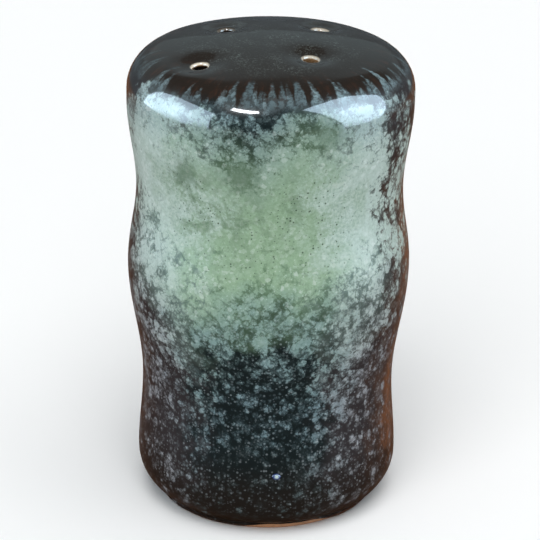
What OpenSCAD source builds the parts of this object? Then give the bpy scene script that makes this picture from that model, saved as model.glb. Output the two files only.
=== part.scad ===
// Ceramic table shaker: a one-piece stoneware body with four hand-pierced pour holes in its crown,
// a poured reactive glaze that stops short of the foot, and a soft stopper in the filling hole
// under the base. Millimetres, +Z up, origin at the centre of the foot on the table.

/* [Outline] */
// Height from the foot to the top of the crown
height = 84.8; // [79:0.2:100]
// Widest diameter of the cap, over the glaze
cap_d = 50; // [46:0.2:56]
// Diameter of the hollow under the cap
neck_d = 47; // [43:0.2:50]
// Diameter of the swelling at mid height
belly_d = 50.1; // [46:0.1:56]
// Diameter of the lower hollow, where the fingers hold it
waist_d = 45.2; // [42:0.2:50]
// Widest diameter of the base, over the glaze
base_d = 46.9; // [45:0.1:54]
// Level of the lower hollow above the foot
waist_z = 22.5; // [17:0.5:28]
// Level of the mid swelling above the foot
belly_z = 44; // [36:0.5:50]
// Level of the upper hollow above the foot
neck_z = 59; // [54:0.5:63]
// Depth of the cap's widest level below the top of the crown
cap_drop = 10.6; // [10:0.2:14]

/* [Edges] */
// Radius of the shoulder between the cap and the crown
shoulder_round = 6.8; // [4.6:0.1:8]
// Slope of the crown where it meets the shoulder, in degrees
crown_slope = 11; // [4:0.5:16]
// Radius of the turn at the bottom of the wall
base_round = 7.4; // [5.5:0.1:8.5]
// How far the foot stands in from the base's widest diameter
foot_setback = 4.3; // [3:0.1:5.5]
// Height of the bare clay foot below the glaze
foot_h = 1.5; // [1:0.1:3]
// Radius on the foot ring's edges and on the edges of the filling hole
edge_round = 0.5; // [0.2:0.05:0.8]

/* [Walls] */
// Thickness of the glaze coat
glaze_t = 0.5; // [0.3:0.05:0.8]
// Thickness of the clay wall and of the clay crown
clay_wall = 3.6; // [2.6:0.1:5]
// Thickness of the clay floor round the filling hole
floor_t = 4; // [3:0.1:6]
// Depth of the underside inside the foot ring
recess_h = 3; // [2.4:0.1:5]
// Radius of the chamber's bottom corner
chamber_round = 3; // [1:0.1:5]
// Width of the collar of clay round the filling hole
collar_w = 2.2; // [1.4:0.1:2.4]

/* [Pour holes] */
// Diameter of a pour hole, inside its glaze lining
pour_d = 2.4; // [1.6:0.1:3.4]
// Diameter of the circle that the pour holes are pierced near
pour_circle_d = 25.6; // [20:0.2:29]
// Turn of the first pour hole from +X, in degrees
pour_turn = 45; // [0:1:89]
// Radius of the rolled lip at a pour hole's mouth
lip_round = 0.8; // [0.6:0.05:1.2]
// Depth of the dish that piercing leaves round a pour hole
dish_depth = 0.6; // [0.3:0.05:1]
// Spherical radius of that dish
dish_round = 11; // [8:0.5:18]
// How far the glaze lines a pour hole below its lip
lining_h = 1.2; // [0.4:0.1:1.8]

/* [Stopper] */
// Diameter of the filling hole in the base
fill_d = 22; // [18:0.5:25]
// Running gap between the stopper's sealing ribs and the filling hole
rib_gap = 0.05; // [0.02:0.01:0.15]
// How far the sealing ribs stand out from the stopper's wall
rib_out = 0.4; // [0.2:0.05:0.7]
// Pitch of the sealing ribs
rib_pitch = 1.3; // [1:0.05:1.6]
// Number of sealing ribs
rib_count = 3; // [1:1:3]
// How far the stopper reaches into the chamber past the clay floor
stopper_past = 3; // [1.5:0.1:6]
// Taper of the stopper's nose, measured on its radius
nose_taper = 0.7; // [0.3:0.05:1.2]
// Radius on the nose and in the corner of the cup
nose_round = 0.8; // [0.4:0.05:1.2]
// Wall of the stopper's hollow cup
stopper_wall = 1.8; // [1.2:0.1:2.6]
// Thickness of the web that closes the top of the cup
web_t = 1.6; // [1:0.1:2.5]
// How far the flange laps the clay round the filling hole
flange_lap = 2.8; // [1.5:0.1:3.5]
// Thickness of the flange
flange_t = 1.4; // [1:0.1:2]
// Gap between the flange's rim and the foot ring
flange_gap = 1.7; // [1:0.1:2]
// Thickness of the grip fin that crosses the cup
fin_t = 2.6; // [1.8:0.1:3.5]
// How far the fin's lower edge stays inside the cup's mouth
fin_set = 0.3; // [0.2:0.1:1.5]

/* [Hidden] */

// Each hand-pierced hole strays from its place: outwards as a share of the circle's radius, and
// round the circle in degrees
POUR_STRAYS = [[0.09, 7], [-0.04, -4], [0.2, -7], [-0.25, -1]];

WALL_STEPS = 88;     // rings up the wavy wall
TURN_STEPS = 12;     // rings round the shoulder and the base turn
CROWN_STEPS = 8;     // rings across the crown
LIP_STEPS = 7;       // rings round a pour hole's lip
DISH_STEPS = 6;      // rings across a pour hole's dish
EDGE_STEPS = 3;      // rings round a small edge
PAST = 4;            // how far a cutting shape reaches past what it cuts
DISH_REACH = 30;     // half the spread of a dish's ball, in degrees, which takes it past the crown

cap_r = cap_d / 2;
base_r = base_d / 2;
foot_r = base_r - foot_setback;

// The crown is a shallow sphere, and the shoulder's circle touches it from inside
crown_r = shoulder_round + (cap_r - shoulder_round) / sin(crown_slope);
crown_z = height - crown_r;
shoulder_z = crown_z + (crown_r - shoulder_round) * cos(crown_slope);

// The base turn's circle, set so that the clay reaches the foot's wall at foot_h
turn_r = base_r - base_round;
turn_clay = base_round - glaze_t;
turn_z = foot_h + sqrt(turn_clay * turn_clay - (foot_r - turn_r) * (foot_r - turn_r));

// Levels up the wall: height above the foot, radius over the glaze
LEVELS = [
    [turn_z, base_r],
    [waist_z, waist_d / 2],
    [belly_z, belly_d / 2],
    [neck_z, neck_d / 2],
    [height - cap_drop, cap_r],
    [shoulder_z, cap_r]
];

floor_top = recess_h + floor_t;
chamber_inset = glaze_t + clay_wall;
fill_r = fill_d / 2;
collar_r = fill_r + collar_w;
rib_r = fill_r - rib_gap;
plug_r = rib_r - rib_out;
cup_r = plug_r - stopper_wall;
flange_r = fill_r + flange_lap;
recess_r = flange_r + flange_gap;
flange_z = recess_h - flange_t;
stopper_top = floor_top + stopper_past;
rib_foot = rib_pitch * 0.42;         // half the width of a rib where it leaves the wall
rib_land = rib_pitch * 0.14;         // half the width of the flat that seals

// 0 to 1 along a smooth swell that is level at both ends
function swell(t) = (1 - cos(180 * t)) / 2;

// The wall's radius over the glaze at height z
function wall_r(z, i = 0) =
    z <= LEVELS[i + 1].x || i == len(LEVELS) - 2
        ? LEVELS[i].y + (LEVELS[i + 1].y - LEVELS[i].y)
            * swell((z - LEVELS[i].x) / (LEVELS[i + 1].x - LEVELS[i].x))
        : wall_r(z, i + 1);

// Points round part of a circle, from angle a to angle b
function arc(centre, r, a, b, steps) =
    [for (i = [0:steps]) let (t = a + (b - a) * i / steps) centre + r * [cos(t), sin(t)]];

// The wavy wall between two heights, moved in by inset
function wall(inset, low, high) =
    [for (i = [0:WALL_STEPS]) let (z = low + (high - low) * i / WALL_STEPS) [wall_r(z) - inset, z]];

// The turn at the bottom, from the foot to the wall, without its last point
function base_turn(inset) =
    let (r = base_round - inset, end = foot_r + glaze_t - inset - turn_r)
    [for (i = [0:TURN_STEPS - 1]) let (t = -acos(end / r) * (1 - i / TURN_STEPS))
        [turn_r, turn_z] + r * [cos(t), sin(t)]];

// The shoulder and the crown, up to the axis, without the shoulder's first point
function cap_top(inset) = concat(
    [for (i = [1:TURN_STEPS]) let (t = (90 - crown_slope) * i / TURN_STEPS)
        [cap_r - shoulder_round, shoulder_z] + (shoulder_round - inset) * [cos(t), sin(t)]],
    [for (i = [1:CROWN_STEPS]) let (t = crown_slope * (1 - i / CROWN_STEPS))
        [0, crown_z] + (crown_r - inset) * [sin(t), cos(t)]]
);

// The outside from the foot to the axis, moved in by inset
function outside(inset) =
    concat(base_turn(inset), wall(inset, turn_z, shoulder_z), cap_top(inset));

// The chamber's wall, from its bottom corner to the axis
function chamber() =
    let (corner_z = floor_top + chamber_round, corner_r = wall_r(corner_z) - chamber_inset)
    concat(
        [for (i = [0:TURN_STEPS - 1]) let (t = -90 * (1 - i / TURN_STEPS))
            [corner_r - chamber_round, corner_z] + chamber_round * [cos(t), sin(t)]],
        wall(chamber_inset, corner_z, shoulder_z),
        cap_top(chamber_inset)
    );

// A rounded corner of a half section. inward is the diagonal from the corner into the material,
// and the points run anticlockwise round the material
function edge(corner, inward) =
    let (mid = atan2(-inward.y, -inward.x))
    arc(corner + edge_round * inward, edge_round, mid - 45, mid + 45, EDGE_STEPS);

function reversed(list) = [for (i = [len(list) - 1:-1:0]) list[i]];

// What one pour hole takes out, from its dish and lip down. inset is the glaze left on the clay
// there, and depth is how far the hole goes below the lip. The dish's lowest level is at z = 0
module pour_cut(inset, depth) {
    reach = dish_round + lip_round;
    lip_r = pour_d / 2 + lip_round;
    lean = asin(lip_r / reach);
    hole_r = pour_d / 2 + inset;
    ball_r = dish_round + inset;
    lip_z = dish_round - reach * cos(lean);
    rotate_extrude($fn = 48)
        polygon(concat(
            [[0, lip_z - depth], [hole_r, lip_z - depth]],
            arc([lip_r, lip_z], lip_round - inset, 180, 90 + lean, LIP_STEPS),
            [for (i = [1:DISH_STEPS]) let (t = lean + (DISH_REACH - lean) * i / DISH_STEPS)
                [ball_r * sin(t), dish_round - ball_r * cos(t)]],
            [[0, dish_round - ball_r * cos(DISH_REACH)]]
        ));
}

// The pour holes, square to the crown, each with its dish sunk dish_depth below the crown's surface
module pour_cuts(inset, depth) {
    for (i = [0:len(POUR_STRAYS) - 1])
        let (
            out = pour_circle_d / 2 * (1 + POUR_STRAYS[i].x),
            turn = pour_turn + 360 / len(POUR_STRAYS) * i + POUR_STRAYS[i].y
        )
        translate([0, 0, crown_z])
            rotate([0, asin(out / crown_r), turn])
                translate([0, 0, crown_r - dish_depth])
                    pour_cut(inset, depth);
}

// The fired clay: foot ring, floor out from the collar, wall, crown with the pierced holes
module clay_body() {
    color("#9c6b43")
    difference() {
        rotate_extrude($fn = 180)
            polygon(concat(
                edge([recess_r, 0], [1, 1]),
                edge([foot_r, 0], [-1, 1]),
                outside(glaze_t),
                reversed(chamber()),
                [[collar_r, floor_top], [collar_r, recess_h], [recess_r, recess_h]]
            ));
        pour_cuts(glaze_t, chamber_inset + PAST);
    }
}

// The collar of clay round the filling hole, which carries on the floor to the hole's edge
module clay_collar() {
    color("#9c6b43")
    rotate_extrude($fn = 180)
        polygon(concat(
            edge([fill_r, recess_h], [1, 1]),
            [[collar_r, recess_h], [collar_r, floor_top]],
            edge([fill_r, floor_top], [1, -1])
        ));
}

// The glass coat outside the clay. It rolls over into the pour holes, and its lower edge hangs as
// a thin bead beside the bare foot
module glaze_coat() {
    color("#3b4a45")
    difference() {
        rotate_extrude($fn = 180)
            polygon(concat([[0, foot_h], [foot_r, foot_h]], outside(0)));
        difference() {
            rotate_extrude($fn = 180)
                polygon(concat([[0, foot_h - PAST], [foot_r, foot_h - PAST]], outside(glaze_t)));
            pour_cuts(glaze_t, lining_h);
        }
        pour_cuts(0, chamber_inset + PAST);
    }
}

// One sealing rib's outline on the stopper's wall, centred at height z
function rib(z) = [
    [plug_r, z - rib_foot], [rib_r, z - rib_land], [rib_r, z + rib_land], [plug_r, z + rib_foot]
];

// The soft stopper: a flanged cup, open below, with sealing ribs and a fin to pull it by
module stopper() {
    rib_mid = recess_h + floor_t / 2;
    ribs = [for (i = [0:rib_count - 1]) each rib(rib_mid + rib_pitch * (i - (rib_count - 1) / 2))];
    rim = flange_t / 2;
    web_z = stopper_top - web_t;
    color("#d9d5c8") {
        rotate_extrude($fn = 96)
            polygon(concat(
                [[cup_r, flange_z]],
                arc([flange_r - rim, flange_z + rim], rim, -90, 90, TURN_STEPS),
                [[plug_r, recess_h]],
                ribs,
                [[plug_r, floor_top]],
                arc([plug_r - nose_taper - nose_round, stopper_top - nose_round],
                    nose_round, 0, 90, EDGE_STEPS),
                [[0, stopper_top], [0, web_z]],
                arc([cup_r - nose_round, web_z - nose_round], nose_round, 90, 0, EDGE_STEPS)
            ));
        fin(flange_z + fin_set, web_z + web_t / 2);
    }
}

// The fin between two heights, with a round lower edge, let into the cup's wall at both ends
module fin(low, high) {
    half = cup_r + stopper_wall / 3;
    translate([-half, 0, 0])
        rotate([90, 0, 90])
            linear_extrude(2 * half) {
                translate([-fin_t / 2, low + fin_t / 2])
                    square([fin_t, high - low - fin_t / 2]);
                translate([0, low + fin_t / 2])
                    circle(d = fin_t, $fn = 32);
            }
}

clay_body();
clay_collar();
glaze_coat();
stopper();
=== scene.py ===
"""A stoneware table shaker: poured reactive glaze over fired clay, four hand-pierced pour holes in
the crown, and a soft stopper in the filling hole under the base."""

import math

import bmesh
import bpy
from mathutils import Matrix, Vector, noise


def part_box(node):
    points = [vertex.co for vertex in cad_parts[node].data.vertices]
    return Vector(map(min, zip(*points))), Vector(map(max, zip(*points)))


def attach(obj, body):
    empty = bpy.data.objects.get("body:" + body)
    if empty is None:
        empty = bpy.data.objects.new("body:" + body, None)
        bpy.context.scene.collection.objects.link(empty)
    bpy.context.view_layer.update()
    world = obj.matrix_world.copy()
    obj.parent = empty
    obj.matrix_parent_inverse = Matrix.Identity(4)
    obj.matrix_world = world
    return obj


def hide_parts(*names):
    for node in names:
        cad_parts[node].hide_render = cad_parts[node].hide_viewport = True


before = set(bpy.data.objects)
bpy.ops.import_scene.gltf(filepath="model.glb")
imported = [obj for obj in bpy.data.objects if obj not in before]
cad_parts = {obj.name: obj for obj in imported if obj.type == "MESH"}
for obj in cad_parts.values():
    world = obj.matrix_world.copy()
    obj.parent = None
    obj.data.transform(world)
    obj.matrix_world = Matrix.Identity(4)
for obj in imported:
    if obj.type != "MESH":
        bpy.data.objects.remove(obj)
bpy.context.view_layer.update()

bl_info = {
    "name": "Stoneware Shaker",
    "version": (1, 0, 0),
    "blender": (4, 5, 0),
    "location": "3D View > Sidebar > Shaker",
    "description": "Glazes, fires and stoppers a stoneware table shaker, and lights it on a pale table",
    "category": "Object",
}

MM = 0.001
GLAZE_LOW, GLAZE_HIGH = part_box("glaze_coat")
BODY = "body"
STOPPER_BODY = "stopper"


def tint(red, green, blue):
    """A linear colour from the 0 to 255 numbers of a paint chart"""
    shares = [c / 255 for c in (red, green, blue)]
    return [c / 12.92 if c <= 0.04045 else ((c + 0.055) / 1.055) ** 2.4 for c in shares]


def dim(colour, left):
    """A darker shade of a colour, with that share of its light left"""
    return [c * left for c in colour]


def number(name, description, default, **settings):
    """A number that can be set in the panel"""
    return bpy.props.FloatProperty(name=name, description=description, default=default, **settings)


def size(name, description, default):
    """A length, in metres"""
    return number(name, description, default, unit="LENGTH", precision=5)


def share(name, description, default):
    """A number from 0 to 1"""
    return number(name, description, default, min=0, max=1, subtype="FACTOR")


def turn(name, description, degrees):
    """An angle, given in degrees and kept in radians"""
    return number(name, description, math.radians(degrees), unit="ROTATION")


def paint(name, description, default):
    """A colour of the shaker or its stage"""
    return bpy.props.FloatVectorProperty(
        name=name, description=description, default=default, size=3, min=0, max=1, subtype="COLOR"
    )


class ShakerSizes(bpy.types.PropertyGroup):
    """The outline of the shaker, over the glaze"""

    height: size("Height", "From the foot to the top of the crown", GLAZE_HIGH.z)
    cap_d: size("Cap", "Widest diameter of the cap", 50 * MM)
    neck_d: size("Neck", "Diameter of the hollow under the cap", 47 * MM)
    belly_d: size("Belly", "Diameter of the swelling at mid height", GLAZE_HIGH.x - GLAZE_LOW.x)
    waist_d: size("Waist", "Diameter of the lower hollow", 45.2 * MM)
    base_d: size("Base", "Widest diameter of the base", 46.9 * MM)
    waist_z: size("Waist level", "Height of the lower hollow", 22.5 * MM)
    belly_z: size("Belly level", "Height of the mid swelling", 44 * MM)
    neck_z: size("Neck level", "Height of the upper hollow", 59 * MM)
    cap_drop: size("Cap drop", "Depth of the cap's widest level below the crown", 10.6 * MM)
    shoulder_round: size("Shoulder", "Radius between the cap and the crown", 6.8 * MM)
    crown_slope: turn("Crown slope", "Slope of the crown where it meets the shoulder", 11)
    base_round: size("Base turn", "Radius at the bottom of the wall", 7.4 * MM)
    foot_setback: size("Foot setback", "How far the foot stands in from the base", 4.3 * MM)
    foot_h: size("Foot height", "Height of the foot ring's upright wall", 1.5 * MM)
    glaze_t: size("Glaze", "Thickness of the glaze coat", 0.5 * MM)
    wobble: size("Wobble", "How far the hand-turned wall strays from true", 0.12 * MM)


class PourHoles(bpy.types.PropertyGroup):
    """The holes pierced in the crown while the clay was soft"""

    bore_d: size("Bore", "Diameter inside the glaze lining", 2.4 * MM)
    lip_round: size("Lip", "Radius of the rolled lip", 0.8 * MM)
    dish_depth: size("Dish depth", "How far piercing sank the crown round a hole", 0.7 * MM)
    dish_reach: size("Dish reach", "Radius at which the dish meets the crown", 5.6 * MM)
    lining: size("Lining", "How far the glaze runs down inside a hole", 1.2 * MM)
    ragged: share("Ragged", "How uneven the lips are", 0.07)


class GlazeColours(bpy.types.PropertyGroup):
    """The colours that the glaze breaks into"""

    iron: paint("Iron", "Thick glaze on the crown and just above the foot", tint(37, 30, 25))
    # Rust and umber on the sides of the wall are partly thin glaze and partly a painted reflection of a
    # brown table
    rust: paint("Rust", "Thin glaze on the right, on the back and at the hem", tint(122, 76, 48))
    umber: paint("Umber", "Thin glaze on the left", tint(86, 61, 48))
    teal: paint("Teal", "Deep glaze low on the front", tint(16, 27, 29))
    # Plum on the sides is partly the glaze's tone and partly a painted veil of reflected light
    plum: paint("Plum", "Deep glaze low on the sides", tint(44, 41, 43))
    celadon: paint("Celadon", "Smooth green band round the upper wall", tint(134, 161, 133))
    moss: paint("Moss", "Clouds in the green band", tint(92, 118, 93))
    # Beside the green band the haze is partly milky glaze and partly a painted haze of the windows'
    # blurred reflection
    haze: paint("Haze", "Milky patches beside the green band", tint(181, 199, 194))
    frost: paint("Frost", "Crystals low on the front", tint(110, 134, 142))
    ash: paint("Ash", "Crystals on the sides", tint(152, 154, 160))
    cream: paint("Cream", "Glaze worn thin on the lips", tint(232, 222, 204))
    tan: paint("Tan", "Glaze worn thin inside the pour holes", tint(186, 146, 104))
    bead: paint("Bead", "The stray bead of glaze low on the front", tint(70, 86, 132))


class ClayColours(bpy.types.PropertyGroup):
    """The bare clay and the stopper"""

    clay: paint("Clay", "Bare fired clay", tint(186, 132, 92))
    speck: paint("Speck", "Iron specks in the clay", tint(92, 58, 40))
    silicone: paint("Silicone", "Soft stopper", tint(226, 222, 210))


class StudioSettings(bpy.types.PropertyGroup):
    """The camera and the light"""

    distance: size("Distance", "From the camera to the shaker's axis", 430 * MM)
    aim: size("Aim", "Height that the camera looks at", 41.76 * MM)
    sidestep: size("Sidestep", "How far the camera stands to the right", 0.26 * MM)
    elevation: turn("Elevation", "How far above the horizon the camera stands", 23)
    roll: turn("Roll", "Turn of the camera about its own axis", 0.726)
    lens: number("Lens", "Focal length", 160.85, unit="CAMERA")
    table: paint("Table", "Colour of the table", (0.9, 0.9, 0.9))
    board: paint("Board", "Colour of the board that only the glaze mirrors", tint(112, 76, 52))
    rim: paint("Rim", "Colour of the dim rim round that board", tint(80, 87, 91))


class Outline:
    """The shaker's half section over the glaze, worked out from its sizes"""

    def __init__(self, sizes):
        self.cap_r = sizes.cap_d / 2
        self.base_r = sizes.base_d / 2
        self.foot_r = self.base_r - sizes.foot_setback
        self.round = sizes.shoulder_round
        self.slope = sizes.crown_slope
        self.hub_r = self.cap_r - self.round
        self.crown_r = self.round + self.hub_r / math.sin(self.slope)
        self.crown_z = sizes.height - self.crown_r
        self.shoulder_z = self.crown_z + (self.crown_r - self.round) * math.cos(self.slope)
        self.turn = sizes.base_round
        self.turn_r = self.base_r - self.turn
        clay_turn = self.turn - sizes.glaze_t
        self.turn_z = sizes.foot_h + math.sqrt(clay_turn**2 - (self.foot_r - self.turn_r) ** 2)
        self.hem_r = self.foot_r + sizes.glaze_t
        self.levels = [
            (self.turn_z, self.base_r),
            (sizes.waist_z, sizes.waist_d / 2),
            (sizes.belly_z, sizes.belly_d / 2),
            (sizes.neck_z, sizes.neck_d / 2),
            (sizes.height - sizes.cap_drop, self.cap_r),
            (self.shoulder_z, self.cap_r),
        ]

    def wall_r(self, z):
        """Radius of the wavy wall at a height"""
        for (low, low_r), (high, high_r) in zip(self.levels, self.levels[1:]):
            if z <= high:
                swell = (1 - math.cos(math.pi * (z - low) / (high - low))) / 2
                return low_r + (high_r - low_r) * swell
        return self.cap_r

    def crown_height(self, r):
        """Height of the crown and the shoulder at a distance from the axis"""
        if r <= self.crown_r * math.sin(self.slope):
            return self.crown_z + math.sqrt(self.crown_r**2 - r**2)
        return self.shoulder_z + math.sqrt(max(self.round**2 - (r - self.hub_r) ** 2, 0))

    def rings_down(self, r, spacing):
        """Radius and height of each ring from the shoulder at radius r down to the foot"""
        rings = []
        lean = math.asin((r - self.hub_r) / self.round)
        steps = round(self.round * (math.pi / 2 - lean) / spacing)
        for i in range(1, steps):
            angle = lean + (math.pi / 2 - lean) * i / steps
            across = self.hub_r + self.round * math.sin(angle)
            rings.append((across, self.shoulder_z + self.round * math.cos(angle)))
        wall = self.shoulder_z - self.turn_z
        steps = round(wall / spacing)
        for i in range(steps):
            z = self.shoulder_z - wall * i / steps
            rings.append((self.wall_r(z), z))
        last = math.acos((self.hem_r - self.turn_r) / self.turn)
        steps = round(self.turn * last / spacing)
        for i in range(steps):
            angle = last * i / steps
            across = self.turn_r + self.turn * math.cos(angle)
            rings.append((across, self.turn_z - self.turn * math.sin(angle)))
        return rings


# Where each hole was pierced, across and back from the axis, how thin the glaze is on its lip, how
# thin it is down its bore, how far the clay sank compared with the rest, and its lean to the front
# in degrees
PIERCED = [
    (Vector((-8, 9.3)) * MM, 0.15, 0, 1.22, 5),
    (Vector((8.5, 11)) * MM, 0.6, 0.75, 1.22, 3),
    (Vector((6.7, -7)) * MM, 0.7, 0.45, 1.05, 0),
    (Vector((-12, -9.5)) * MM, 1, 0, 1, 0),
]


def smooth(value, low, high):
    """0 below low, 1 above high, and a smooth rise between them"""
    t = min(max((value - low) / (high - low), 0), 1)
    return t * t * (3 - 2 * t)


def new_object(name, bm):
    """Makes a finished mesh an object of the scene"""
    mesh = bpy.data.meshes.new(name)
    bm.to_mesh(mesh)
    bm.free()
    made = bpy.data.objects.new(name, mesh)
    bpy.context.scene.collection.objects.link(made)
    return made


def new_piece(name, bm, body):
    """Makes a finished mesh a piece of the shaker that rides on a body"""
    piece = new_object(name, bm)
    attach(piece, body)
    return piece


def next_ring(bm, ring, place):
    """Extrudes a ring of open edges, puts each new point where place says, and returns the new ring"""
    made = bmesh.ops.extrude_edge_only(bm, edges=ring)["geom"]
    for point in made:
        if isinstance(point, bmesh.types.BMVert):
            point.co = place(point.co)
    return [edge for edge in made if isinstance(edge, bmesh.types.BMEdge) and edge.is_boundary]


def on_circle(co, radius, z):
    """The point straight out from the axis through co, on a circle"""
    flat = Vector((co.x, co.y)).normalized() * radius
    return Vector((flat.x, flat.y, z))


CELLS = 48           # cells across the crown's grid, and a quarter of the points round the wall
BLOCK = 3            # half the width, in cells, of the block that a pour hole takes out
SPREAD = 2.2         # how far a hole bends the grid round it, in blocks
CROWN_REACH = 21.4 * MM
LIP_RINGS = 8


def disc_point(u, v):
    """A point of the unit disc from one of the square that reaches from -1 to 1"""
    x = math.sin(u * math.pi / 4) * math.sqrt(2)
    y = math.sin(v * math.pi / 4) * math.sqrt(2)
    return Vector((x * math.sqrt(1 - y * y / 2), y * math.sqrt(1 - x * x / 2)))


def square_angle(across, up):
    """Angle of a point on a square, spaced evenly along its sides"""
    if abs(across) >= abs(up):
        return up / across * math.pi / 4 + (0 if across > 0 else math.pi)
    return math.pi / 2 * (1 if up > 0 else -1) - across / up * math.pi / 4


def crown_grid(bm, outline, holes):
    """A round grid over the crown, with a block left open and drawn into a circle at each hole"""
    bmesh.ops.create_grid(bm, x_segments=CELLS, y_segments=CELLS, size=1)
    cell = 2 / CELLS
    lip_r = holes.bore_d / 2 + holes.lip_round
    blocks = []
    for centre, _, _, sunk, _ in PIERCED:
        nearest = min(
            bm.verts, key=lambda v: (disc_point(v.co.x, v.co.y) * CROWN_REACH - centre).length
        )
        blocks.append((nearest.co.x, nearest.co.y, centre, sunk))
    gone = []
    for face in bm.faces:
        middle = face.calc_center_median()
        for u, v, _, _ in blocks:
            if max(abs(middle.x - u), abs(middle.y - v)) < BLOCK * cell:
                gone.append(face)
    bmesh.ops.delete(bm, geom=gone, context="FACES")
    for vert in bm.verts:
        u, v = vert.co.x, vert.co.y
        flat = disc_point(u, v) * CROWN_REACH
        for hole_u, hole_v, centre, _ in blocks:
            across = (u - hole_u) / cell / BLOCK
            up = (v - hole_v) / cell / BLOCK
            away = max(abs(across), abs(up))
            if away < SPREAD and away > 0:
                along = disc_point(hole_u + cell, hole_v) - disc_point(hole_u - cell, hole_v)
                angle = square_angle(across, up) + math.atan2(along.y, along.x)
                wanted = centre + Vector((math.cos(angle), math.sin(angle))) * lip_r * away
                flat = flat.lerp(wanted, 1 - smooth(away, 1, SPREAD))
        z = outline.crown_height(flat.length)
        for _, _, centre, sunk in blocks:
            away = (flat - centre).length
            z -= holes.dish_depth * sunk * (1 - smooth(away, lip_r * 0.6, holes.dish_reach / sunk))
        vert.co = (flat.x, flat.y, z)


def open_ring(bm, centre, within):
    """The open edges that lie within a distance of a point, seen from above"""
    return [
        edge
        for edge in bm.edges
        if edge.is_boundary
        and all((Vector((v.co.x, v.co.y)) - centre).length < within for v in edge.verts)
    ]


def roll_lip(bm, outline, holes, pierced, thin_layer, bore_shade_layer):
    """Rolls the glaze over a pour hole's lip and down its bore, square to the crown"""
    centre, thin_lip, thin_bore, _, lean = pierced
    ring = open_ring(bm, centre, holes.bore_d + holes.lip_round)
    corners = {v for edge in ring for v in edge.verts}
    top = sum((v.co for v in corners), Vector()) / len(corners)
    bore_r = holes.bore_d / 2
    up = Vector((centre.x, centre.y, top.z - outline.crown_z)).normalized()
    up = Matrix.Rotation(math.radians(lean), 3, "X") @ up
    top.z += (bore_r + holes.lip_round) * math.sin(math.radians(lean)) / 2
    place = Matrix.Translation(top) @ up.to_track_quat("Z", "Y").to_matrix().to_4x4()
    back = place.inverted()

    def uneven(co):
        return 1 + holes.ragged * noise.noise(co / (1.6 * MM))

    for vert in corners:
        local = back @ vert.co
        local.xy *= uneven(vert.co)
        local.z *= 0.5
        vert.co = place @ local
    # Each stage is a width, a depth, how thin the glaze is, and how much painted shade darkens it,
    # deepest down the bore
    stages = []
    for step in range(1, LIP_RINGS + 1):
        turned = step / LIP_RINGS
        wide = bore_r + holes.lip_round * (1 - math.sin(turned * math.pi / 2))
        low = -holes.lip_round * (1 - math.cos(turned * math.pi / 2))
        crest = smooth(turned, 0.2, 0.55) * (1 - smooth(turned, 0.7, 0.95))
        inside = smooth(turned, 0.7, 0.95)
        stages.append((wide, low, crest * thin_lip + inside * thin_bore, inside * (1 - thin_bore)))
    for down in (0.33, 0.66, 1):
        low = -holes.lip_round - holes.lining * down
        stages.append((bore_r, low, thin_bore * (1 - down), 1 - thin_bore * (1 - down)))
    for wide, low, thin, dark in stages:

        def moved(co):
            flat = (back @ co).xy.normalized() * wide * uneven(co)
            return place @ Vector((flat.x, flat.y, low))

        ring = next_ring(bm, ring, moved)
        for vert in {v for edge in ring for v in edge.verts}:
            vert[thin_layer] = thin
            vert[bore_shade_layer] = dark


# How far out from the foot's glaze, and how far above the hem, its last rings stand, in millimetres
HEM_RINGS = [(0.02, 0.6), (0.05, 0.32), (0, 0.1), (-0.14, 0)]
HEM_Z = 0.26         # height of the hem above the table, in millimetres
HEM_LIFT = 0.7       # how much higher it is where it lifts off the foot
HEM_LIFTED_AT = 13   # turn of that place from the front, in degrees
HEM_DRIFT = 0.16
HEM_RIPPLE = 0.05
SLOW_SWELL = 19 * MM  # widths of the lumps in which the wall strays
QUICK_SWELL = 6.5 * MM


def hem_height(co):
    """How high the glaze's lower edge stands above the table. It lifts off the foot at the front"""
    azimuth = math.degrees(math.atan2(co.x, -co.y))
    outward = Vector((co.x, co.y, 0)).normalized()
    lift = HEM_LIFT * (1 - smooth(abs(azimuth - HEM_LIFTED_AT), 12, 27))
    drift = HEM_DRIFT * noise.noise(outward * 2.6)
    ripple = HEM_RIPPLE * noise.noise(outward * 9)
    return (HEM_Z + lift + max(drift, -0.12) + ripple) * MM


def wobble(bm, amount):
    """Leans and ripples the surface inwards a little, as hand-turned clay does"""
    bm.normal_update()
    for vert in bm.verts:
        slow = noise.noise(vert.co / SLOW_SWELL)
        quick = noise.noise(vert.co / QUICK_SWELL + Vector((7, 3, 5)))
        vert.co -= vert.normal * amount * (0.75 - 0.5 * slow - 0.22 * quick)


def face_outwards(bm):
    """Turns every face the same way, with the crown's faces up"""
    bmesh.ops.recalc_face_normals(bm, faces=bm.faces)
    top = max(bm.faces, key=lambda face: face.calc_center_median().z)
    if top.normal.z < 0:
        bmesh.ops.reverse_faces(bm, faces=bm.faces)
    for face in bm.faces:
        face.smooth = True


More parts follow.
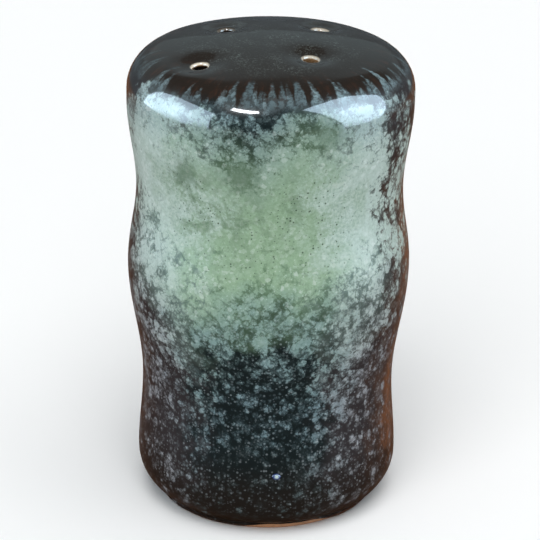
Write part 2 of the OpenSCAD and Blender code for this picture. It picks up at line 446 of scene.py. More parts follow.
class SHAKER_OT_glaze(bpy.types.Operator):
    """Pours the glaze coat over the shaker, rolls it into the pour holes and lets its hem sag"""

    bl_idname = "shaker.glaze"
    bl_label = "Pour the Glaze"

    def execute(self, context):
        sizes = context.scene.shaker_sizes
        holes = context.scene.shaker_holes
        outline = Outline(sizes)
        bm = bmesh.new()
        thin_layer = bm.verts.layers.float.new("thin")
        bore_shade_layer = bm.verts.layers.float.new("dark")
        crown_grid(bm, outline, holes)
        rim = [e for e in bm.edges if e.is_boundary and e.verts[0].co.xy.length > CROWN_REACH * 0.99]
        for pierced in PIERCED:
            roll_lip(bm, outline, holes, pierced, thin_layer, bore_shade_layer)
        spacing = CROWN_REACH * 2 / CELLS
        for radius, z in outline.rings_down(CROWN_REACH, spacing):
            rim = next_ring(bm, rim, lambda co: on_circle(co, radius, z))
        for out, rise in HEM_RINGS:
            hem_r = outline.hem_r + out * MM
            rim = next_ring(bm, rim, lambda co: on_circle(co, hem_r, hem_height(co) + rise * MM))
        face_outwards(bm)
        wobble(bm, sizes.wobble)
        piece = new_piece("glaze", bm, BODY)
        shell = piece.modifiers.new("Thickness", "SOLIDIFY")
        shell.thickness = sizes.glaze_t
        shell.offset = -1
        shell.use_even_offset = True
        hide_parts("glaze_coat")
        piece.data.materials.append(glaze_material(context.scene))
        return {"FINISHED"}


def dress(names, material):
    """Gives shapes that the shaker already has their one material"""
    for name in names:
        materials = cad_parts[name].data.materials
        materials.clear()
        materials.append(material)


class SHAKER_OT_clay(bpy.types.Operator):
    """Fires the clay body: foot ring, floor, wall and crown"""

    bl_idname = "shaker.clay"
    bl_label = "Fire the Clay"

    def execute(self, context):
        dress(("clay_body", "clay_collar"), clay_material(context.scene))
        return {"FINISHED"}


BEAD_AT = Vector((1.8, -23.17, 12.5)) * MM
BEAD_R = 0.66 * MM
BEAD_SHAPE = (1.25, 0.85, 0.6)  # its width, height and depth, in diameters


class SHAKER_OT_bead(bpy.types.Operator):
    """Leaves a stray bead of glaze low on the front"""

    bl_idname = "shaker.bead"
    bl_label = "Leave the Bead"

    def execute(self, context):
        bm = bmesh.new()
        bmesh.ops.create_uvsphere(bm, u_segments=32, v_segments=18, radius=BEAD_R)
        bmesh.ops.scale(bm, vec=BEAD_SHAPE, verts=bm.verts)
        out = Vector((BEAD_AT.x, BEAD_AT.y, 0)).normalized()
        stand = Matrix.Translation(BEAD_AT) @ out.to_track_quat("Z", "Y").to_matrix().to_4x4()
        bmesh.ops.transform(bm, matrix=stand, verts=bm.verts)
        for face in bm.faces:
            face.smooth = True
        piece = new_piece("glaze_bead", bm, BODY)
        piece.data.materials.append(bead_material(context.scene))
        return {"FINISHED"}


class SHAKER_OT_stopper(bpy.types.Operator):
    """Gives the stopper in the filling hole its soft silicone finish"""

    bl_idname = "shaker.stopper"
    bl_label = "Mould the Stopper"

    def execute(self, context):
        dress(("stopper",), silicone_material(context.scene))
        return {"FINISHED"}


class Recipe:
    """Adds shader nodes to a tree and joins them up"""

    def __init__(self, tree):
        self.tree = tree

    def node(self, kind, values=None, **settings):
        made = self.tree.nodes.new("ShaderNode" + kind)
        for name, value in settings.items():
            setattr(made, name, value)
        for key, value in (values or {}).items():
            self.feed(made.inputs[key], value)
        return made

    def feed(self, socket, value):
        if isinstance(value, bpy.types.NodeSocket):
            self.tree.links.new(value, socket)
        else:
            socket.default_value = value

    def maths(self, operation, *values, clamp=False):
        values = dict(enumerate(values))
        return self.node("Math", values, operation=operation, use_clamp=clamp).outputs[0]

    def plus(self, first, second, clamp=False):
        return self.maths("ADD", first, second, clamp=clamp)

    def minus(self, first, second):
        return self.maths("SUBTRACT", first, second)

    def times(self, first, *others):
        """The product of two or more numbers"""
        if len(others) > 1:
            others = [self.times(*others)]
        return self.maths("MULTIPLY", first, *others)

    def fit(self, value, by, offset):
        """A number multiplied by one and moved by another"""
        return self.maths("MULTIPLY_ADD", value, by, offset)

    def vector(self, operation, *values, output="Vector"):
        made = self.node("VectorMath", dict(enumerate(values)), operation=operation)
        return made.outputs[output]

    def distance(self, here, there):
        return self.vector("DISTANCE", here, there, output="Value")

    def scaled(self, vector, scale):
        values = {"Vector": vector, "Scale": scale}
        return self.node("VectorMath", values, operation="SCALE").outputs["Vector"]

    def step(self, value, low, high, to_low=0, to_high=1):
        """A smooth change from to_low to to_high as value goes from low to high"""
        values = {"Value": value, 1: low, 2: high, 3: to_low, 4: to_high}
        made = self.node("MapRange", values, interpolation_type="SMOOTHSTEP")
        return made.outputs["Result"]

    def stray(self, value, amount):
        """Turns a number from 0 to 1 into one that strays amount / 2 either way from 0"""
        return self.fit(value, amount, -amount / 2)

    def noise(self, where, grain, detail=2, roughness=0.5, distortion=0):
        """Noise whose lumps are about grain across"""
        values = {"Vector": where, "Scale": 1 / grain, "Detail": detail}
        values.update({"Roughness": roughness, "Distortion": distortion})
        return self.node("TexNoise", values).outputs["Fac"]

    def cells(self, where):
        """Cells one unit across, and three numbers drawn for each"""
        cell = self.node("TexVoronoi", {"Vector": where, "Scale": 1}).outputs
        drawn = self.node("SeparateColor", {0: cell["Color"]}).outputs
        return cell["Distance"], drawn

    def mix(self, factor, first, second):
        """A colour between two others: the first at 0, the second at 1"""
        values = {0: factor, 6: rgba(first), 7: rgba(second)}
        return self.node("Mix", values, data_type="RGBA").outputs[2]

    def ramp(self, value, stops):
        """Colours or numbers along a ramp, from a list of place and value"""
        made = self.node("ValToRGB", {"Fac": value})
        elements = made.color_ramp.elements
        while len(elements) < len(stops):
            elements.new(1)
        for element, (place, shown) in zip(elements, stops):
            element.position = place
            element.color = rgba(shown)
        return made.outputs["Color"]

    def use(self, group_name, **values):
        """A node group, which is built once, with its inputs by name and its outputs to pick from"""
        tree = bpy.data.node_groups.get(group_name) or SHADER_GROUPS[group_name]()
        return self.node("Group", values, node_tree=tree).outputs


def rgba(shown):
    """Four numbers from a colour or from one number. A socket is left as it is"""
    if isinstance(shown, bpy.types.NodeSocket):
        return shown
    if isinstance(shown, (int, float)):
        return (shown, shown, shown, 1)
    return (*shown[:3], 1)


def new_group(name, numbers, masks):
    """An empty shader node group that takes a vector and numbers and puts out masks, its recipe, and
    the sockets inside it that give its inputs and take its outputs"""
    tree = bpy.data.node_groups.new(name, "ShaderNodeTree")
    tree.interface.new_socket("Vector", in_out="INPUT", socket_type="NodeSocketVector")
    for label, value in numbers.items():
        socket = tree.interface.new_socket(label, in_out="INPUT", socket_type="NodeSocketFloat")
        socket.default_value = value
    for label in masks:
        tree.interface.new_socket(label, in_out="OUTPUT", socket_type="NodeSocketFloat")
    given = tree.nodes.new("NodeGroupInput").outputs
    wanted = tree.nodes.new("NodeGroupOutput").inputs
    return tree, Recipe(tree), given, wanted


def crystals_group():
    """Crystals that grew in the glaze: rosettes of one size with broken edges, as many as Cover says"""
    numbers = {"Size": 1, "Cover": 0.5, "Soft": 0.2}
    tree, r, given, wanted = new_group("Crystals", numbers, ("Mask", "Core", "Tone"))
    unit = r.scaled(given["Vector"], r.maths("DIVIDE", 1, given["Size"]))
    away, drawn = r.cells(unit)
    growth = r.minus(r.plus(given["Cover"], 0.05), away)
    growth = r.plus(growth, r.stray(r.noise(unit, 0.55, 3, 0.7), 1.4))
    growth = r.plus(growth, r.stray(drawn[0], 0.7))
    r.feed(wanted["Mask"], r.step(growth, r.times(given["Soft"], -1), given["Soft"]))
    r.feed(wanted["Core"], r.step(growth, 0.15, 0.6))
    r.feed(wanted["Tone"], drawn[2])
    return tree


def speckle_group():
    """Small spots scattered evenly, such as pinholes, sand or iron specks"""
    numbers = {"Spacing": 1, "Spot": 0.15, "Cover": 0.5}
    tree, r, given, wanted = new_group("Specks", numbers, ("Mask", "Tone"))
    away, drawn = r.cells(r.scaled(given["Vector"], r.maths("DIVIDE", 1, given["Spacing"])))
    alive = r.maths("LESS_THAN", drawn[0], given["Cover"])
    spot = r.times(given["Spot"], r.plus(drawn[1], 0.5))
    dot = r.step(away, spot, r.times(spot, 0.5))
    r.feed(wanted["Mask"], r.times(dot, alive))
    r.feed(wanted["Tone"], drawn[2])
    return tree


SHADER_GROUPS = {"Crystals": crystals_group, "Specks": speckle_group}


def new_material(name):
    """A material, its recipe, and the place of each point of its surface in millimetres"""
    material = bpy.data.materials.new(name)
    material.use_nodes = True
    r = Recipe(material.node_tree)
    return material, r, r.scaled(r.node("TexCoord").outputs["Object"], 1 / MM)


def finish(material, r, sockets, relief=None, strength=0, depth=0):
    """Sets the Principled shader's sockets by name, and raises a relief by a depth in millimetres"""
    if relief is not None:
        values = {"Height": relief, "Strength": strength, "Distance": depth * MM}
        sockets["Normal"] = r.node("Bump", values).outputs["Normal"]
    for name, value in sockets.items():
        r.feed(material.node_tree.nodes["Principled BSDF"].inputs[name], value)
    return material


SCALE_TOP = 100      # height in millimetres at the end of a ramp


def by_height(r, height, stops):
    """A ramp whose places are heights in millimetres"""
    places = [(z / SCALE_TOP, shown) for z, shown in stops]
    return r.ramp(r.maths("DIVIDE", height, SCALE_TOP), places)


# Turn from the front in radians, and how many millimetres further up than it lies a point there
# counts, at the lower and at the upper edge of the pale band
LOW_EDGE = [
    (-3.14, -12.8), (-1.45, -12.8), (-1.15, -8), (-0.84, -3), (-0.6, 3), (-0.42, 0.5), (-0.1, -2.4),
    (0.15, -2.2), (0.36, 0.5), (0.5, 1), (0.75, -0.5), (1.1, -2), (1.45, -7), (2.4, -12.8),
    (3.14, -12.8),
]
HIGH_EDGE = [
    (-3.14, -3), (-1.5, -1.5), (-1.22, -1.5), (-1, -7), (-0.75, -6.4), (-0.6, -4.6), (-0.45, -3),
    (-0.3, -1.2), (-0.1, 0), (0.03, -1.5), (0.2, -5.5), (0.35, -5), (0.5, -2.6), (0.75, -3),
    (1, -2), (3.14, -3),
]
# Turn, and how much more of the low wall the crystals cover there, in units of EXTRA_COVER
LOW_COVER = [
    (-3.14, 2), (-0.9, 2), (-0.6, 0), (-0.42, -1.2), (-0.2, -0.8), (0, 0), (0.26, 0), (0.4, 3),
    (0.6, 3), (0.76, -0.5), (1, 0), (1.3, 1), (3.14, 2),
]
EXTRA_COVER = 0.04
SCALE_SPAN = 16      # from the lowest to the highest number that the three lists above can hold
SCALE_ZERO = 0.8     # how far up that span 0 lies

# Height in millimetres, and the crystals' share of the front, or how much further round the right
# side the dark cracks come
COVERED = [(0, 0.08), (8, 0.14), (18, 0.21), (27, 0.26), (37, 0.37), (48, 0.67), (57, 1)]
WIDER = [(52, 0.25), (58, 0.85), (64, 0.5), (69, 0), (73.5, 0.5), (76.5, 0.45), (79, 1)]

LOPSIDED = 0.12      # how much sooner the pale band ends on the right than on the left
CRYSTALS = [(3.4, 0.3), (1.5, 0.2), (0.8, 0.2)]  # size in millimetres, and softness of the edges
DRIP_GIRDLE = 13     # size of the pattern that spaces the drips, in drips across
RUN_ROUND = (25, 25, 25)  # how fine the running glaze's streaks are round the shaker
RUN_DOWN = (0, 0, 0.45)   # and how fine down it
DARK_CLOUDS = [      # middle, in millimetres, and weight of the dark clouds in the green band
    ((-4.5, -23.4, 68.5), 0.75),
    ((-13.6, -19, 67.5), 0.55),
    ((9.4, -22, 75.5), 0.5),
]

SLATE = tint(70, 82, 84)          # crystals just above the foot
SEA = tint(120, 146, 142)         # crystals under the green band
SAGE = tint(134, 158, 142)        # crystals in the upper green band
LICHEN = tint(112, 134, 130)      # crystals below the shoulder
SIDE_MOSS = tint(98, 116, 114)    # clouds beside the green band
DRIP_TIP = tint(142, 168, 176)    # the palest drips
GLINT = (0.8, 0.85, 0.85)         # painted highlight: glints on the cores of the small crystals
SALT = (0.6, 0.66, 0.7)           # specks among the crystals


def round_wall(r, azimuth, stops):
    """A number that changes round the wall, from a list of turn and number between -12.8 and 3.2"""
    places = [(0.5 + turn / 2 / math.pi, SCALE_ZERO + n / SCALE_SPAN) for turn, n in stops]
    shown = r.ramp(r.fit(azimuth, 0.5 / math.pi, 0.5), places)
    return r.fit(shown, SCALE_SPAN, -SCALE_ZERO * SCALE_SPAN)


def drips(r, where, outward, z, turned, reach, fibres):
    """Pale runs with pointed tops that hang from the shoulder: how much shows, and a tone for each"""
    away, drawn = r.cells(r.scaled(outward, DRIP_GIRDLE))
    top = r.fit(drawn[0], 1.5, r.step(turned, 0.35, 0.8, 84.1, 82.9))
    top = r.fit(away, -5.5, top)
    top = r.plus(top, r.step(turned, 1.12, 1.34))
    top = r.minus(top, r.step(turned, 1.5, 1.9, 0, 2.7))
    top = r.plus(top, r.stray(r.noise(where, 0.8, 3, 0.7), 2.4))
    top = r.plus(top, r.stray(fibres, 1.2))
    hung = r.step(r.minus(top, z), -0.2, 1)
    shown = r.times(hung, r.step(r.noise(where, 0.9, 3, 0.7), 0.4, 0.6, 0.3, 1))
    shown = r.times(shown, r.step(reach, 17.6, 19.4))
    return r.times(shown, r.step(z, 79.2, 81.2)), drawn[1]


def glaze_material(scene):
    """Reactive glaze: iron-black crown, streaked shoulder, celadon band and crystal-filled teal foot"""
    paints = scene.glaze_colours
    material, r, where = new_material("reactive_glaze")
    place = r.node("SeparateXYZ", {0: where}).outputs
    z = place["Z"]
    azimuth = r.maths("ARCTAN2", place["X"], r.times(place["Y"], -1))
    turned = r.maths("ABSOLUTE", azimuth)
    flat = r.vector("MULTIPLY", where, (1, 1, 0))
    outward = r.vector("NORMALIZE", flat)
    reach = r.distance(flat, (0, 0, 0))

    # How far up the bands and how far round to the sides a point counts
    drift = r.noise(where, 12, 2, 0.55)
    patch = r.noise(where, 4, 3, 0.62)
    low = r.plus(z, r.plus(r.stray(drift, 20), r.stray(patch, 12)))
    low = r.plus(low, round_wall(r, azimuth, LOW_EDGE))
    level = r.plus(z, r.stray(patch, 4))
    high = r.plus(level, round_wall(r, azimuth, HIGH_EDGE))
    lopsided = r.fit(azimuth, LOPSIDED, turned)
    beside = r.plus(lopsided, r.stray(patch, 0.7))
    side_tone_and_veil = r.step(beside, 0.34, 0.66)
    side = r.step(beside, 0.32, 0.92)
    rightmost = r.fit(azimuth, LOPSIDED, r.plus(beside, r.stray(drift, 0.9)))
    rightmost = r.minus(rightmost, r.step(level, 60, 72, 0, 0.3))
    wall = r.times(r.step(level, 74, 66), r.step(z, 5, 16, 0.35, 1))
    # Rust on the right side and round the back: partly the glaze's thin break, partly a painted
    # reflection of a brown table along the right-hand edge
    rust_and_rim_reflection = r.times(r.step(rightmost, 1.4, 1.72), wall)
    wider = r.fit(by_height(r, z, WIDER), 0.23, -0.03)
    wider = r.times(r.step(azimuth, 0, 0.6), wider)
    cracked = r.step(r.plus(r.plus(lopsided, r.stray(patch, 0.5)), wider), 0.96, 1.2)

    # What lies under the crystals
    green = by_height(r, low, [(34, 0), (48, 1)])
    green = r.times(green, by_height(r, high, [(63, 1), (70, 0.5), (76, 0)]))
    green = r.times(green, r.minus(1, cracked))
    # Plum on the sides of the deep glaze: partly its own tone, partly a painted veil of reflected light
    deep = r.mix(side_tone_and_veil, paints.teal, paints.plum)
    # Umber in the deep glaze on the sides, most on the right: partly the glaze's tone, partly a painted
    # reflection of a brown table
    warming = r.plus(rightmost, r.stray(r.noise(where, 2.6, 4, 0.7), 1.2))
    warm = r.times(r.step(warming, 0.85, 1.7, 0, 0.85), r.step(level, 76, 66, 0.3, 1))
    deep = r.mix(warm, deep, dim(paints.umber, 0.75))
    mossy = r.mix(r.step(beside, 0.25, 0.6, 0, 0.8), paints.moss, SIDE_MOSS)
    ground = r.mix(green, deep, mossy)
    ground = r.mix(r.step(level, 79, 82), ground, paints.iron)
    ground = r.mix(r.step(level, 17, 6, 0, 0.8), ground, dim(paints.iron, 0.66))
    earth_and_rim_reflection = r.mix(r.step(azimuth, -0.6, 0.6), paints.umber, paints.rust)
    burnt = r.step(r.noise(where, 1.8, 5, 0.75), 0.42, 0.6, 0.35, 0.95)
    ground = r.mix(r.times(rust_and_rim_reflection, burnt), ground, earth_and_rim_reflection)

    # The brown band where the crown turns down, streaked by the running glaze
    running = r.vector("MULTIPLY_ADD", outward, RUN_ROUND, r.vector("MULTIPLY", where, RUN_DOWN))
    fibres = r.noise(running, 1.1, 4, 0.7)
    banded = by_height(r, z, [(80, 0), (81.5, 1), (82.8, 1), (83.5, 0)])
    blotch = r.times(r.step(fibres, 0.44, 0.66), r.step(r.noise(where, 2.4, 3, 0.6), 0.4, 0.6))
    ground = r.mix(r.times(blotch, banded), ground, dim(paints.umber, 0.4))

    # What the crystals are made of
    front = by_height(r, low, [(12, SLATE), (22, paints.frost), (38, SEA), (50, paints.celadon)])
    upper = by_height(r, high, [(60, paints.celadon), (68, SAGE), (75, LICHEN), (79, paints.frost)])
    front = r.mix(r.step(z, 52, 58), front, upper)
    flanks = r.mix(by_height(r, low, [(28, 0), (49, 1)]), dim(paints.ash, 0.9), paints.haze)
    flanks = r.mix(r.step(z, 70, 77, 0, 0.5), flanks, paints.frost)
    pale = r.mix(r.times(side, 0.85), front, flanks)

    # How much they cover
    beaded = r.times(r.step(beside, 0.5, 0.9), r.step(z, 78, 70, 0.14, 0))
    crowding = by_height(r, high, [(63, 1), (70, 0.6), (76, 0.46), (80, 0.22)])
    cover = r.times(by_height(r, low, COVERED), r.plus(crowding, beaded))
    ashen = round_wall(r, azimuth, LOW_COVER)
    cover = r.plus(cover, r.times(ashen, r.step(z, 42, 34, 0, EXTRA_COVER)))
    cover = r.minus(cover, r.times(rust_and_rim_reflection, 0.08))
    bared = r.plus(r.step(z, 30, 44, 0, 0.14), r.step(z, 49, 59, 0, 0.36))
    bared = r.minus(bared, r.step(z, 63, 69, 0, 0.12))
    bared = r.times(bared, r.step(azimuth, -0.5, 0.2, 0.4, 1))
    shoulder = r.step(azimuth, -0.5, 0.2, 0.55, -0.08)
    bared = r.plus(bared, r.step(z, 73, 79, 0, shoulder))
    cover = r.minus(cover, r.times(cracked, bared))
    cover = r.minus(cover, r.step(level, 79, 81.5, 0, 1.1))

    halo, flake, grain = [
        r.use("Crystals", Vector=where, Size=across, Cover=cover, Soft=soft)
        for across, soft in CRYSTALS
    ]
    bloom = r.times(halo["Mask"], r.step(z, 24, 40, 0.24, 0.34))
    petal = r.times(flake["Mask"], r.fit(halo["Mask"], 0.28, 0.24))
    crumb = r.times(grain["Mask"], r.fit(flake["Mask"], 0.18, 0.22))
    shown = r.plus(r.plus(bloom, petal), crumb, clamp=True)
    sugar = r.noise(where, 0.42, 3, 0.8)
    shown = r.times(shown, r.step(sugar, 0.34, 0.64, 0.6, 1.25))
    shown = r.plus(r.times(shown, 0.3), r.step(shown, 0.06, 0.85, 0, 0.7))
    colour = r.mix(shown, ground, pale)
    # Painted highlights: glints on the cores of the small crystals and sparkle among them, painted pale
    # into the colour
    glint = r.times(grain["Core"], r.maths("POWER", grain["Tone"], 2.5))
    glint = r.times(glint, r.fit(flake["Mask"], 0.45, 0.1))
    sparkle = r.times(r.step(sugar, 0.58, 0.7), r.times(shown, 0.5))
    glint = r.plus(glint, sparkle, clamp=True)
    glint = r.times(glint, r.step(z, 82, 76))
    colour = r.mix(glint, colour, r.mix(0.5, pale, GLINT))
    salt = r.use("Specks", Vector=where, Spacing=0.52, Spot=0.42, Cover=0.5)
    salted = r.times(salt["Mask"], r.fit(salt["Tone"], 0.34, 0.04))
    salted = r.times(salted, r.step(z, 52, 40), r.step(z, 2, 9))
    colour = r.mix(salted, colour, r.mix(0.35, pale, SALT))

    # The smooth celadon band with its clouds and pinholes
    melt = r.times(by_height(r, low, [(49, 0), (60, 1)]), by_height(r, high, [(60, 1), (68, 0)]))
    melt = r.times(melt, r.step(beside, 1, 0.7))
    clouds = r.step(r.noise(where, 3.8, 6, 0.74, 0.3), 0.44, 0.6)
    clouds = r.times(clouds, r.step(azimuth, 0.08, 0.34, 1, 0.1))
    clouds = r.times(clouds, r.step(azimuth, -0.6, -0.85, 1, 0.3))
    # Milky patches beside the green band: partly the glaze's own, partly a painted haze of the windows'
    # blurred reflection
    milk_and_window_haze = r.times(r.step(beside, 0.12, 0.52), r.step(patch, 0.36, 0.58, 0.6, 1))
    melted = r.mix(milk_and_window_haze, paints.celadon, paints.haze)
    melted = r.mix(clouds, melted, dim(paints.moss, 0.8))
    mottle = r.noise(where, 0.5, 4, 0.8)
    melted = r.mix(r.step(mottle, 0.36, 0.62, 0.5, 0), melted, paints.moss)
    melted = r.mix(r.step(mottle, 0.52, 0.7, 0, 0.35), melted, paints.haze)
    colour = r.mix(r.times(melt, 0.68), colour, melted)
    ragged = r.stray(r.noise(where, 1.6, 4, 0.7), 7)
    for middle, weight in DARK_CLOUDS:
        shade = r.step(r.plus(r.distance(where, middle), ragged), 4.4, 1, 0, weight)
        colour = r.mix(shade, colour, dim(paints.moss, 0.75))
    holes = r.use("Specks", Vector=where, Spacing=0.66, Spot=0.22, Cover=0.8)
    crowded = r.step(r.noise(where, 6, 2, 0.5), 0.38, 0.54, 0.45, 0.95)
    smooth_low = by_height(r, low, [(44, 0), (54, 1)])
    smooth_high = by_height(r, high, [(61, 1), (69, 0)])
    pitted = r.times(holes["Mask"], r.times(smooth_low, smooth_high), crowded)
    pitted = r.times(pitted, r.step(beside, 0.95, 0.5))
    colour = r.mix(pitted, colour, dim(paints.moss, 0.35))

    # The drips on the shoulder and the dust on the crown
    drip, tone = drips(r, where, outward, z, turned, reach, fibres)
    dripping = r.mix(tone, dim(paints.frost, 0.7), DRIP_TIP)
    heavy = r.plus(r.step(azimuth, 0.1, 0.5, 0.6, 0.85), r.step(turned, 0.8, 1.2, 0, -0.3))
    colour = r.mix(r.times(drip, heavy), colour, dripping)
    dust = r.step(r.noise(where, 0.4, 4, 0.8), 0.5, 0.7)
    drifted = r.step(r.noise(where, 4, 3, 0.6), 0.4, 0.65, 0.05, 0.3)
    dusty = r.times(dust, drifted, r.step(reach, 18.5, 13, 0.1, 1))
    dusty = r.times(dusty, r.step(z, 81.5, 83.2))
    colour = r.mix(dusty, colour, paints.haze)

    # Worn thin on the lips, darkened down the bores as painted shade, and rust at the hem
    thin = r.node("Attribute", attribute_name="thin").outputs["Fac"]
    dark = r.node("Attribute", attribute_name="dark").outputs["Fac"]
    # Painted shade: the dark attribute darkens the glaze down each bore to near black
    colour = r.mix(dark, colour, dim(paints.iron, 0.3))
    worn = r.mix(r.step(dark, 0, 0.3), paints.cream, paints.tan)
    colour = r.mix(thin, colour, worn)
    hem = r.times(r.step(z, 1, 0.35), r.step(azimuth, -0.4, 0.3, 0.12, 0.5))
    colour = r.mix(hem, colour, paints.rust)

    gloss = r.step(r.minus(z, r.times(shown, 1.4)), 75.2, 76.2)
    relief = r.plus(r.times(shown, 0.6), r.noise(where, 1.6, 2, 0.5))
    sockets = {
        "Base Color": colour,
        "Coat Weight": r.fit(gloss, 0.92, 0.08),
        "Coat Roughness": 0.05,
        "Coat IOR": 1.45,
        "Roughness": r.fit(shown, 0.12, 0.28),
        "Specular IOR Level": 0.12,
    }
    return finish(material, r, sockets, relief, 0.35, 0.03)


def bead_material(scene):
    """Glassy blue glaze with a painted highlight in its pale middle and painted shade towards its edge
    """
    paints = scene.glaze_colours
    material, r, where = new_material("glassy_bead")
    # The pale spot on the bead's face is a painted highlight, and the bead colour darkened away from it
    # is painted shade
    highlight_spot = (BEAD_AT + Vector((0.08, -0.3, 0.12)) * MM) / MM
    away = r.distance(where, highlight_spot)
    bloom = r.noise(where, 0.5, 2, 0.5)
    pale = r.step(r.plus(away, r.stray(bloom, 0.15)), 0.5, 0.12)
    colour = r.mix(pale, paints.bead, paints.haze)
    colour = r.mix(r.step(away, 0.45, 0.75), colour, dim(paints.bead, 0.25))
    rough = r.step(bloom, 0.3, 0.7, 0.04, 0.1)
    return finish(material, r, {"Base Color": colour, "Roughness": rough})


def clay_material(scene):
    """Bare stoneware: sandy, warm and matt, with iron specks"""
    paints = scene.clay_colours
    material, r, where = new_material("fired_clay")
    tone = r.noise(where, 3, 4, 0.6)
    colour = r.mix(r.step(tone, 0.35, 0.7), paints.clay, dim(paints.clay, 0.72))
    iron = r.use("Specks", Vector=where, Spacing=0.9, Spot=0.16, Cover=0.35)
    colour = r.mix(r.times(iron["Mask"], 0.8), colour, paints.speck)
    tooth = r.plus(r.noise(where, 0.3, 3, 0.6), r.times(iron["Mask"], 0.4))
    return finish(material, r, {"Base Color": colour, "Roughness": 0.85}, tooth, 0.6, 0.06)


def silicone_material(scene):
    """Soft translucent silicone with a fine moulded grain"""
    paints = scene.clay_colours
    material, r, where = new_material("soft_silicone")
    cloud = r.noise(where, 5, 2, 0.5)
    colour = r.mix(r.step(cloud, 0.3, 0.7), paints.silicone, dim(paints.silicone, 0.86))
    sockets = {
        "Base Color": colour,
        "Roughness": 0.42,
        "Subsurface Weight": 0.35,
        "Subsurface Radius": (1, 0.9, 0.75),
        "Subsurface Scale": 1.5 * MM,
    }
    return finish(material, r, sockets, r.noise(where, 0.25, 2, 0.5), 0.3, 0.02)


PALE_BELOW = 0.07    # height of a direction up to which the backdrop is as pale as the table
WALL_ABOVE = 0.16    # height of a direction above which it is the studio's dim wall
WALL_TOP = 0.61      # height of a direction at which that wall ends
PALE_LIGHT = 0.95
WALL_LIGHT = 0.21
WALL_TINT = (0.8, 1.02, 1.1)
CEILING_LIGHT = 0.055


def studio_world(scene):
    """A pale horizon, a dim wall above it and a dark ceiling, the same for every ray"""
    world = bpy.data.worlds.new("studio")
    world.use_nodes = True
    scene.world = world
    r = Recipe(world.node_tree)
    towards = r.node("TexCoord").outputs["Generated"]
    facing = r.node("SeparateXYZ", {0: towards}).outputs
    up = facing["Z"]
    wall = r.step(up, PALE_BELOW, WALL_ABOVE, PALE_LIGHT, WALL_LIGHT)
    sloping = r.fit(r.maths("ABSOLUTE", facing["X"]), 0.14, up)
    sloping = r.fit(facing["X"], 0.12, sloping)
    over = r.step(sloping, WALL_TOP - 0.02, WALL_TOP + 0.02)
    level = r.fit(over, r.minus(CEILING_LIGHT, wall), wall)
    cool = r.node("CombineColor")
    for channel, wall_share in enumerate(WALL_TINT):
        tinted = r.step(up, PALE_BELOW, WALL_ABOVE, 1, wall_share)
        r.feed(cool.inputs[channel], r.times(level, tinted))
    r.feed(world.node_tree.nodes["Background"].inputs["Color"], cool.outputs[0])


def direction(azimuth, elevation=0):
    """The direction that lies so many degrees round from the front, and so many up"""
    az, el = math.radians(azimuth), math.radians(elevation)
    return Vector((math.sin(az) * math.cos(el), -math.cos(az) * math.cos(el), math.sin(el)))


def lamp(name, azimuth, elevation, strength, spread):
    """A soft sun that lights the matt surfaces and isn't mirrored in the glaze"""
    data = bpy.data.lights.new(name, "SUN")
    data.energy = strength
    data.angle = math.radians(spread)
    sun = bpy.data.objects.new(name, data)
    bpy.context.scene.collection.objects.link(sun)
    sun.rotation_euler = direction(azimuth, elevation).to_track_quat("Z", "Y").to_euler()
    sun.visible_glossy = False


def stage_piece(name, bm, colour=(0, 0, 0), mirrored_only=True):
    """A matt piece of the stage, which as a rule shows only in the glaze"""
    piece = new_object(name, bm)
    if mirrored_only:
        for kind in ("camera", "diffuse", "transmission", "volume_scatter", "shadow"):
            setattr(piece, "visible_" + kind, False)
    material = bpy.data.materials.new(name)
    material.use_nodes = True
    sockets = {"Base Color": rgba(colour), "Roughness": 1, "Specular IOR Level": 0}
    finish(material, Recipe(material.node_tree), sockets)
    piece.data.materials.append(material)
    return piece


TABLE_HALF = 6       # half the width of the table, in metres
BOARD_R = 0.45       # radius of the warm board, in metres
BOARD_LIFT = 0.2 * MM
BOARD_RIM = 0.17     # height of the dim rim round it, in metres
LAMPS = [            # name, turn and height in degrees, strength, and spread in degrees
    ("key", -10, 48, 1.85, 50),
    ("overhead", 40, 76, 1.8, 60),
]
SKY = (0.63, 0.83, 1)
WINDOWS = [          # name, turn in degrees, distance, corners, brightest spot, colour and strength
    ("left_window", -80, 0.26, [
        (-0.165, 0.03), (0.175, 0.012), (0.19, 0.215), (0.07, 0.25), (-0.03, 0.252),
        (-0.09, 0.222), (-0.12, 0.19), (-0.14, 0.12),
    ], (0.03, 0.119), SKY, 9.3),
    ("right_window", 70, 0.26, [
        (-0.06, 0.018), (0.1, 0.018), (0.13, 0.07), (0.148, 0.24), (0.1, 0.43), (0, 0.45),
        (-0.213, 0.417),
    ], (-0.015, 0.181), SKY, 11.5),
    ("skylight", -22, 0.4, [
        (-0.1, 0.43), (-0.03, 0.385), (0.04, 0.38), (0.09, 0.42), (0.08, 0.5), (0.04, 0.48),
        (-0.03, 0.49), (-0.105, 0.53),
    ], (0, 0.44), (0.93, 0.96, 1), 40),
]
SPOT_REACH = 0.11    # distance in metres at which a window's bright spot has faded
SPOT_GAIN = 1.7      # how many times as bright the spot's middle is


def window(name, azimuth, away, corners, spot, colour, strength):
    """A glowing panel that shows only in the glaze, brightest at a spot. Its corners and the spot are
    across and up, in metres"""
    bm = bmesh.new()
    out = direction(azimuth) * away
    right = direction(azimuth + 90)
    bm.faces.new(bm.verts.new(out + right * across + Vector((0, 0, up))) for across, up in corners)
    tree = stage_piece(name, bm).active_material.node_tree
    tree.nodes.clear()
    r = Recipe(tree)
    here = r.node("TexCoord").outputs["Object"]
    centre = out + right * spot[0] + Vector((0, 0, spot[1]))
    level = r.step(r.distance(here, centre), 0, SPOT_REACH, strength * SPOT_GAIN, strength)
    glow = r.node("Emission", {"Color": rgba(colour), "Strength": level})
    r.node("OutputMaterial", {"Surface": glow.outputs[0]})


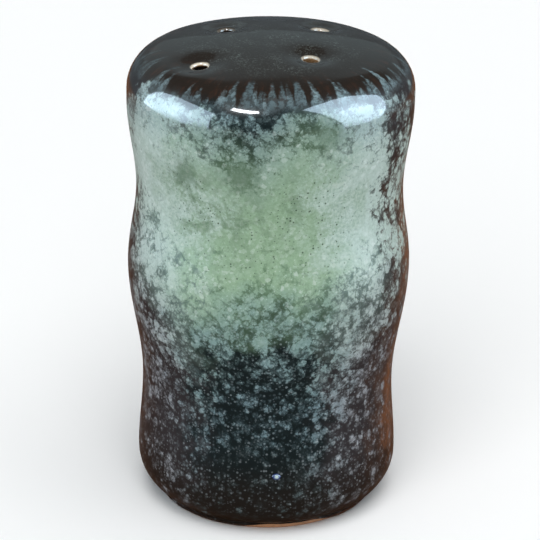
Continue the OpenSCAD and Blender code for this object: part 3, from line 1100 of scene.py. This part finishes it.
class SHAKER_OT_stage(bpy.types.Operator):
    """Sets the shaker on a pale table, with a camera, suns and the windows that the glaze mirrors"""

    bl_idname = "shaker.stage"
    bl_label = "Set the Stage"

    def execute(self, context):
        scene = context.scene
        studio = scene.studio

        # The table and the board go down with the stopper, so that they don't hide it when it is out
        bm = bmesh.new()
        bmesh.ops.create_grid(bm, x_segments=1, y_segments=1, size=TABLE_HALF)
        table = stage_piece("table", bm, studio.table, mirrored_only=False)
        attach(table, STOPPER_BODY)

        bm = bmesh.new()
        bmesh.ops.create_circle(bm, cap_ends=True, segments=64, radius=BOARD_R)
        bmesh.ops.translate(bm, vec=(0, 0, BOARD_LIFT), verts=bm.verts)
        board = stage_piece("board", bm, studio.board)
        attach(board, STOPPER_BODY)

        bm = bmesh.new()
        bmesh.ops.create_cone(bm, segments=64, radius1=BOARD_R, radius2=BOARD_R, depth=BOARD_RIM)
        bmesh.ops.translate(bm, vec=(0, 0, BOARD_RIM / 2), verts=bm.verts)
        stage_piece("dim_rim", bm, studio.rim)

        camera = bpy.data.objects.new("camera", bpy.data.cameras.new("camera"))
        scene.collection.objects.link(camera)
        camera.data.lens = studio.lens
        camera.data.clip_start = 0.01
        camera.data.clip_end = 30
        el = studio.elevation
        back = Vector((0, -math.cos(el), math.sin(el))) * studio.distance
        location = Vector((studio.sidestep, 0, studio.aim)) + back
        tilt = Matrix.Rotation(math.pi / 2 - el, 4, "X") @ Matrix.Rotation(studio.roll, 4, "Z")
        camera.matrix_world = Matrix.Translation(location) @ tilt
        scene.camera = camera

        studio_world(scene)
        for sun in LAMPS:
            lamp(*sun)
        for pane in WINDOWS:
            window(*pane)
        return {"FINISHED"}


class SHAKER_PT_panel(bpy.types.Panel):
    """Lists the shaker's sizes, colours and steps"""

    bl_label = "Shaker"
    bl_idname = "SHAKER_PT_panel"
    bl_space_type = "VIEW_3D"
    bl_region_type = "UI"
    bl_category = "Shaker"

    def draw(self, context):
        column = self.layout.column()
        for step in STEPS:
            column.operator(step.bl_idname)
        for label, group in GROUPS.items():
            box = self.layout.box()
            box.label(text=group.__doc__)
            settings = getattr(context.scene, label)
            for name in group.__annotations__:
                box.prop(settings, name)


STEPS = (SHAKER_OT_stage, SHAKER_OT_clay, SHAKER_OT_glaze, SHAKER_OT_bead, SHAKER_OT_stopper)
GROUPS = {
    "shaker_sizes": ShakerSizes,
    "shaker_holes": PourHoles,
    "glaze_colours": GlazeColours,
    "clay_colours": ClayColours,
    "studio": StudioSettings,
}


def register():
    for group in GROUPS.values():
        bpy.utils.register_class(group)
    for label, group in GROUPS.items():
        setattr(bpy.types.Scene, label, bpy.props.PointerProperty(type=group))
    for step in (*STEPS, SHAKER_PT_panel):
        bpy.utils.register_class(step)


def unregister():
    for step in (SHAKER_PT_panel, *reversed(STEPS)):
        bpy.utils.unregister_class(step)
    for label, group in GROUPS.items():
        delattr(bpy.types.Scene, label)
        bpy.utils.unregister_class(group)


def main():
    register()
    bpy.context.scene.view_settings.view_transform = "Standard"
    bpy.ops.shaker.stage()
    bpy.ops.shaker.clay()
    bpy.ops.shaker.glaze()
    bpy.ops.shaker.bead()
    bpy.ops.shaker.stopper()


if __name__ == "__main__":
    main()
